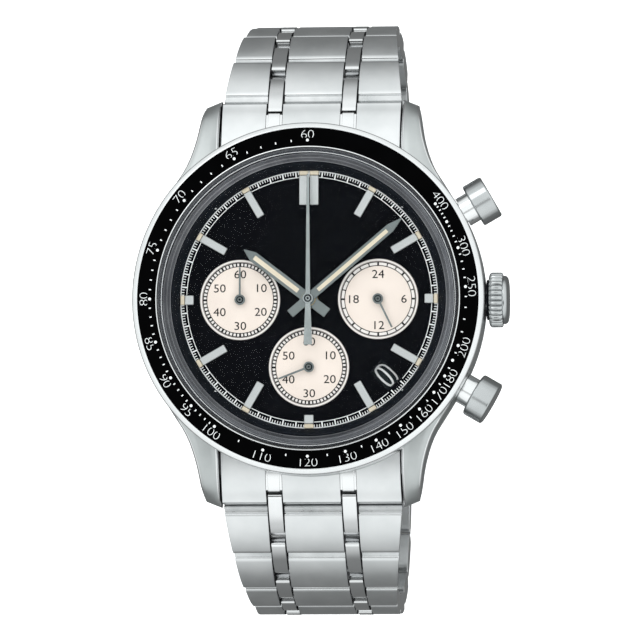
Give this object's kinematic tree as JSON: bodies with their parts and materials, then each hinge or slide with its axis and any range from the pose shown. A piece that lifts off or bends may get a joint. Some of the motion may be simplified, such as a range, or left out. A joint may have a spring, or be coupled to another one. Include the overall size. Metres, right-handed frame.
{
  "type": "chronograph wristwatch",
  "caption": "Steel chronograph wristwatch with a tachymeter ring, sub-dials, crown and pushers, on a hinged link bracelet closed by a folding clasp.",
  "frame": {"origin": "centre of the case back's flat outer face, which rests on the wrist", "axes": "+Z out of the dial towards the viewer, +Y towards 12 o'clock, +X towards the crown"},
  "size_m": [0.0437, 0.0712, 0.0542],
  "materials": {
    "brushed_steel": "brushed",
    "polished_steel": "polished",
    "hand_steel": "satin",
    "plain_steel": "satin",
    "gloss_black": "gloss",
    "crystal_glass": "clear",
    "gasket_rubber": "matt",
    "movement_plastic": "matt",
    "brass": "satin",
    "copper_coil": "satin"
  },
  "bodies": {
    "watch_head": {"mid_case": "brushed_steel", "case_back": "polished_steel", "gaskets": "gasket_rubber", "bezel_ring": "polished_steel", "tachymeter_insert": "gloss_black", "crystal": "crystal_glass", "rehaut_ring": "gloss_black", "dial": "gloss_black", "hour_markers": "hand_steel", "movement_ring": "movement_plastic", "main_plate": "brass", "train_bridge": "plain_steel", "coil_blocks": "copper_coil", "battery": "plain_steel", "crown_tube": "polished_steel", "pusher_tubes": "polished_steel", "spring_bars": "plain_steel", "end_link_12": "brushed_steel", "end_link_6": "brushed_steel"},
    "hour": {"hour_hand": "hand_steel", "hour_wheel": "brass"},
    "minute": {"minute_hand": "hand_steel", "cannon_pinion": "brass"},
    "motion_work": {"minute_wheel": "brass"},
    "chrono_seconds": {"chrono_seconds_hand": "hand_steel", "chrono_seconds_wheel": "brass"},
    "minute_counter": {"minute_counter_hand": "gloss_black", "minute_counter_wheel": "brass"},
    "hours24": {"hours24_hand": "gloss_black", "hours24_wheel": "brass"},
    "small_seconds": {"small_seconds_hand": "gloss_black", "small_seconds_wheel": "brass"},
    "date": {"date_ring": "gloss_black"},
    "crown_slide": {"setting_lever": "plain_steel"},
    "crown": {"crown": "polished_steel", "stem": "plain_steel"},
    "pusher_start": {"pusher_start": "polished_steel"},
    "pusher_reset": {"pusher_reset": "polished_steel"},
    "row_12_1": {"row_12_1": "brushed_steel"},
    "row_12_2": {"row_12_2": "brushed_steel"},
    "row_12_3": {"row_12_3": "brushed_steel"},
    "row_12_4": {"row_12_4": "brushed_steel"},
    "row_12_5": {"row_12_5": "brushed_steel"},
    "row_12_6": {"row_12_6": "brushed_steel"},
    "row_12_7": {"row_12_7": "brushed_steel"},
    "row_12_8": {"row_12_8": "brushed_steel"},
    "row_6_1": {"row_6_1": "brushed_steel"},
    "row_6_2": {"row_6_2": "brushed_steel"},
    "row_6_3": {"row_6_3": "brushed_steel"},
    "row_6_4": {"row_6_4": "brushed_steel"},
    "row_6_5": {"row_6_5": "brushed_steel"},
    "row_6_6": {"row_6_6": "brushed_steel"},
    "row_6_7": {"row_6_7": "brushed_steel"},
    "row_6_8": {"row_6_8": "brushed_steel"},
    "clasp_cover": {"clasp_cover": "brushed_steel"},
    "clasp_blade_long": {"clasp_blade_long": "polished_steel"},
    "clasp_blade_short": {"clasp_blade_short": "polished_steel"},
    "clasp_button_left": {"clasp_button_left": "polished_steel"},
    "clasp_button_right": {"clasp_button_right": "polished_steel"}
  },
  "joints": [
    {"name": "minute_turn", "type": "hinge", "parent": "watch_head", "child": "minute", "pos_m": [0, 0, 0.0088], "axis": [0, 0, -1], "continuous": true},
    {"name": "hour_turn", "type": "hinge", "parent": "watch_head", "child": "hour", "pos_m": [0, 0, 0.0084], "axis": [0, 0, -1], "continuous": true},
    {"name": "motion_work_turn", "type": "hinge", "parent": "watch_head", "child": "motion_work", "pos_m": [-0.00101, 0.00277, 0.0059], "axis": [0, 0, -1], "continuous": true},
    {"name": "hours24_turn", "type": "hinge", "parent": "watch_head", "child": "hours24", "pos_m": [0.00805, 0, 0.0079], "axis": [0, 0, -1], "continuous": true},
    {"name": "chrono_seconds_turn", "type": "hinge", "parent": "watch_head", "child": "chrono_seconds", "pos_m": [0, 0, 0.0092], "axis": [0, 0, -1], "continuous": true},
    {"name": "minute_counter_turn", "type": "hinge", "parent": "watch_head", "child": "minute_counter", "pos_m": [-0.00805, 0, 0.0079], "axis": [0, 0, -1], "continuous": true},
    {"name": "small_seconds_turn", "type": "hinge", "parent": "watch_head", "child": "small_seconds", "pos_m": [0, -0.0079, 0.0079], "axis": [0, 0, -1], "continuous": true},
    {"name": "date_turn", "type": "hinge", "parent": "watch_head", "child": "date", "pos_m": [0, 0, 0.0065], "axis": [0, 0, -1], "continuous": true},
    {"name": "crown_pull", "type": "slide", "parent": "watch_head", "child": "crown_slide", "axis": [1, 0, 0], "range_m": [0, 0.0016]},
    {"name": "crown_turn", "type": "hinge", "parent": "crown_slide", "child": "crown", "pos_m": [0.021, 0, 0.005], "axis": [1, 0, 0], "continuous": true},
    {"name": "pusher_start_press", "type": "slide", "parent": "watch_head", "child": "pusher_start", "axis": [-0.866, -0.5, 0], "range_m": [0, 0.001], "stiffness_N_per_m": 400, "springref_m": -0.004},
    {"name": "pusher_reset_press", "type": "slide", "parent": "watch_head", "child": "pusher_reset", "axis": [-0.866, 0.5, 0], "range_m": [0, 0.001], "stiffness_N_per_m": 400, "springref_m": -0.004},
    {"name": "row_12_1_hinge", "type": "hinge", "parent": "watch_head", "child": "row_12_1", "pos_m": [0, 0.0226, 0.0026], "axis": [1, 0, 0], "range_deg": [0, 11]},
    {"name": "row_12_2_hinge", "type": "hinge", "parent": "row_12_1", "child": "row_12_2", "pos_m": [0, 0.02773, -0.00171], "axis": [1, 0, 0], "range_deg": [0, 14.5]},
    {"name": "row_12_3_hinge", "type": "hinge", "parent": "row_12_2", "child": "row_12_3", "pos_m": [0, 0.03153, -0.00723], "axis": [1, 0, 0], "range_deg": [0, 16]},
    {"name": "row_12_4_hinge", "type": "hinge", "parent": "row_12_3", "child": "row_12_4", "pos_m": [0, 0.03354, -0.01362], "axis": [1, 0, 0], "range_deg": [0, 9.5]},
    {"name": "row_12_5_hinge", "type": "hinge", "parent": "row_12_4", "child": "row_12_5", "pos_m": [0, 0.03436, -0.02027], "axis": [1, 0, 0], "range_deg": [0, 11]},
    {"name": "row_12_6_hinge", "type": "hinge", "parent": "row_12_5", "child": "row_12_6", "pos_m": [0, 0.03377, -0.02694], "axis": [1, 0, 0], "range_deg": [0, 17]},
    {"name": "row_12_7_hinge", "type": "hinge", "parent": "row_12_6", "child": "row_12_7", "pos_m": [0, 0.03116, -0.03311], "axis": [1, 0, 0], "range_deg": [0, 26]},
    {"name": "row_12_8_hinge", "type": "hinge", "parent": "row_12_7", "child": "row_12_8", "pos_m": [0, 0.02602, -0.03742], "axis": [1, 0, 0], "range_deg": [0, 27]},
    {"name": "row_6_1_hinge", "type": "hinge", "parent": "watch_head", "child": "row_6_1", "pos_m": [0, -0.0226, 0.0026], "axis": [-1, 0, 0], "range_deg": [0, 11]},
    {"name": "row_6_2_hinge", "type": "hinge", "parent": "row_6_1", "child": "row_6_2", "pos_m": [0, -0.02773, -0.00171], "axis": [-1, 0, 0], "range_deg": [0, 14.5]},
    {"name": "row_6_3_hinge", "type": "hinge", "parent": "row_6_2", "child": "row_6_3", "pos_m": [0, -0.03153, -0.00723], "axis": [-1, 0, 0], "range_deg": [0, 16]},
    {"name": "row_6_4_hinge", "type": "hinge", "parent": "row_6_3", "child": "row_6_4", "pos_m": [0, -0.03354, -0.01362], "axis": [-1, 0, 0], "range_deg": [0, 9.5]},
    {"name": "row_6_5_hinge", "type": "hinge", "parent": "row_6_4", "child": "row_6_5", "pos_m": [0, -0.03436, -0.02027], "axis": [-1, 0, 0], "range_deg": [0, 11]},
    {"name": "row_6_6_hinge", "type": "hinge", "parent": "row_6_5", "child": "row_6_6", "pos_m": [0, -0.03377, -0.02694], "axis": [-1, 0, 0], "range_deg": [0, 17]},
    {"name": "row_6_7_hinge", "type": "hinge", "parent": "row_6_6", "child": "row_6_7", "pos_m": [0, -0.03116, -0.03311], "axis": [-1, 0, 0], "range_deg": [0, 26]},
    {"name": "row_6_8_hinge", "type": "hinge", "parent": "row_6_7", "child": "row_6_8", "pos_m": [0, -0.02602, -0.03742], "axis": [-1, 0, 0], "range_deg": [0, 27]},
    {"name": "clasp_cover_hinge", "type": "hinge", "parent": "row_12_8", "child": "clasp_cover", "pos_m": [0, 0.01947, -0.03881], "axis": [1, 0, 0], "range_deg": [0, 25]},
    {"name": "clasp_long_blade_fold", "type": "hinge", "parent": "clasp_cover", "child": "clasp_blade_long", "pos_m": [0, -0.0156, -0.03981], "axis": [1, 0, 0], "range_deg": [0, 50]},
    {"name": "clasp_short_blade_fold", "type": "hinge", "parent": "clasp_blade_long", "child": "clasp_blade_short", "pos_m": [0, 0.0154, -0.03906], "axis": [-1, 0, 0], "range_deg": [0, 50]},
    {"name": "clasp_button_left_press", "type": "slide", "parent": "clasp_cover", "child": "clasp_button_left", "axis": [1, 0, 0], "range_m": [0, 0.0005], "stiffness_N_per_m": 400, "springref_m": -0.003},
    {"name": "clasp_button_right_press", "type": "slide", "parent": "clasp_cover", "child": "clasp_button_right", "axis": [-1, 0, 0], "range_m": [0, 0.0005], "stiffness_N_per_m": 400, "springref_m": -0.003}
  ],
  "couplings": [
    {"joint": "hour_turn", "follows": "minute_turn", "ratio": 0.083333},
    {"joint": "motion_work_turn", "follows": "minute_turn", "ratio": -0.33333},
    {"joint": "hours24_turn", "follows": "minute_turn", "ratio": 0.041667},
    {"joint": "minute_counter_turn", "follows": "chrono_seconds_turn", "ratio": 0.016667},
    {"joint": "clasp_short_blade_fold", "follows": "clasp_long_blade_fold", "ratio": 1}
  ]
}
